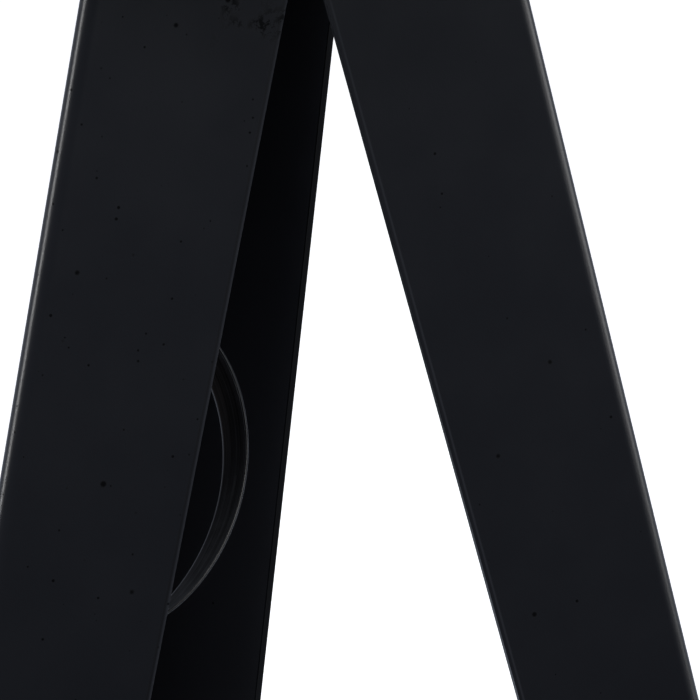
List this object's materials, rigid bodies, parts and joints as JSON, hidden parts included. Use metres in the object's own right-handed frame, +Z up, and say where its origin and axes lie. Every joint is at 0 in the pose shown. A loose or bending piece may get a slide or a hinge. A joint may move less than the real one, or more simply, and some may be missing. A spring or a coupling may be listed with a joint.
{
  "type": "tripod hunting stand",
  "caption": "Folding tripod stand with bent-sheet legs hinged under a head plate, a round swivel seat, tilting feet and a springy strap loop inside one leg.",
  "frame": {"origin": "under the middle of the stand, on the ground plane that the three soles rest on", "axes": "+Z up; -Y faces the front, the side between the left and right legs; +X towards the right leg"},
  "size_m": [0.4424, 0.4002, 0.6975],
  "materials": {
    "satin_black_paint": "satin",
    "cast_aluminium": "satin",
    "zinc_steel": "satin",
    "black_rubber": "matte",
    "black_nylon": "matte",
    "seat_vinyl": "satin",
    "strap_coating": "gloss"
  },
  "bodies": {
    "head": {"block_screw_back": "zinc_steel", "block_screw_left": "zinc_steel", "block_screw_right": "zinc_steel", "head_plate": "satin_black_paint", "hinge_block_back": "cast_aluminium", "hinge_block_left": "cast_aluminium", "hinge_block_right": "cast_aluminium", "hinge_bolt_back": "zinc_steel", "hinge_bolt_left": "zinc_steel", "hinge_bolt_right": "zinc_steel", "hinge_nut_back": "zinc_steel", "hinge_nut_left": "zinc_steel", "hinge_nut_right": "zinc_steel", "spindle_bolt": "zinc_steel", "spindle_nut": "zinc_steel", "spindle_washer": "zinc_steel", "thrust_washer": "black_nylon"},
    "seat": {"seat_pan": "satin_black_paint", "seat_cushion": "seat_vinyl"},
    "leg_left": {"foot_bracket_left": "satin_black_paint", "foot_rivet_left_a": "satin_black_paint", "foot_rivet_left_b": "satin_black_paint", "leg_bracket_left": "satin_black_paint", "leg_left": "satin_black_paint", "leg_rivet_left_a": "satin_black_paint", "leg_rivet_left_b": "satin_black_paint", "strap_keeper": "satin_black_paint", "strap_loop": "strap_coating", "strap_slider": "black_nylon"},
    "foot_left": {"foot_plate_left": "satin_black_paint", "foot_sole_left": "black_rubber", "foot_pin_left": "zinc_steel"},
    "leg_right": {"foot_bracket_right": "satin_black_paint", "foot_rivet_right_a": "satin_black_paint", "foot_rivet_right_b": "satin_black_paint", "leg_bracket_right": "satin_black_paint", "leg_right": "satin_black_paint", "leg_rivet_right_a": "satin_black_paint", "leg_rivet_right_b": "satin_black_paint"},
    "foot_right": {"foot_plate_right": "satin_black_paint", "foot_sole_right": "black_rubber", "foot_pin_right": "zinc_steel"},
    "leg_back": {"foot_bracket_back": "satin_black_paint", "foot_rivet_back_a": "satin_black_paint", "foot_rivet_back_b": "satin_black_paint", "leg_back": "satin_black_paint", "leg_bracket_back": "satin_black_paint", "leg_rivet_back_a": "satin_black_paint", "leg_rivet_back_b": "satin_black_paint"},
    "foot_back": {"foot_plate_back": "satin_black_paint", "foot_sole_back": "black_rubber", "foot_pin_back": "zinc_steel"}
  },
  "joints": [
    {"name": "fold_left", "type": "hinge", "parent": "head", "child": "leg_left", "pos_m": [-0.05404, -0.08325, 0.60281], "axis": [0.5, -0.866, 0], "range_deg": [0, 14]},
    {"name": "fold_right", "type": "hinge", "parent": "head", "child": "leg_right", "pos_m": [0.05404, -0.08325, 0.60281], "axis": [0.5, 0.866, 0], "range_deg": [0, 14]},
    {"name": "fold_back", "type": "hinge", "parent": "head", "child": "leg_back", "pos_m": [0, 0.01035, 0.60281], "axis": [-1, 0, 0], "range_deg": [0, 14]},
    {"name": "seat_swivel", "type": "hinge", "parent": "head", "child": "seat", "pos_m": [0, -0.05205, 0.64672], "axis": [0, 0, 1], "continuous": true},
    {"name": "foot_tilt_left", "type": "hinge", "parent": "leg_left", "child": "foot_left", "pos_m": [-0.1853, -0.15904, 0.028], "axis": [0.5, -0.866, 0], "range_deg": [-18, 24]},
    {"name": "foot_tilt_right", "type": "hinge", "parent": "leg_right", "child": "foot_right", "pos_m": [0.1853, -0.15904, 0.028], "axis": [0.5, 0.866, 0], "range_deg": [-18, 24]},
    {"name": "foot_tilt_back", "type": "hinge", "parent": "leg_back", "child": "foot_back", "pos_m": [0, 0.16191, 0.028], "axis": [-1, 0, 0], "range_deg": [-18, 24]}
  ]
}
